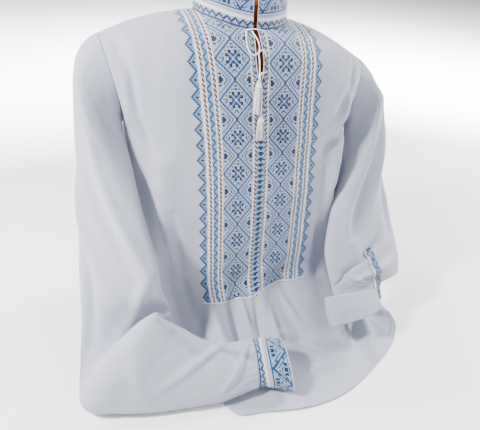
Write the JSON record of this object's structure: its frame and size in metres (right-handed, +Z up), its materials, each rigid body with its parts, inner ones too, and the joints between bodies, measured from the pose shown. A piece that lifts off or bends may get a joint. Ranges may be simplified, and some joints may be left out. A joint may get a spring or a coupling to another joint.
{
  "type": "embroidered linen shirt on a limbless dress form",
  "caption": "Linen shirt with a stand collar, an embroidered bib, a tied neck slit with tassels and full sleeves, worn by a smooth limbless dress form with a flat base.",
  "frame": {"origin": "centre of the form's flat base, on the table", "axes": "+Z up, -Y to the front of the chest, +X to the wearer's left"},
  "size_m": [0.5823, 0.5694, 0.5792],
  "materials": {
    "linen": "matt plain weave",
    "embroidered_linen": "matt cross-stitch",
    "thread": "soft twisted cotton",
    "form_skin": "glossy"
  },
  "bodies": {
    "root": {"form": "form_skin", "front": "linen", "back": "linen", "sleeve_right": "linen", "sleeve_left": "linen", "cuff_right": "embroidered_linen", "cuff_left": "linen", "collar": "embroidered_linen", "placket_left": "embroidered_linen", "tie_loop": "thread", "tie_upper": "thread", "tie_lower": "thread", "tassel_1": "thread", "tassel_2": "thread"}
  },
  "joints": []
}
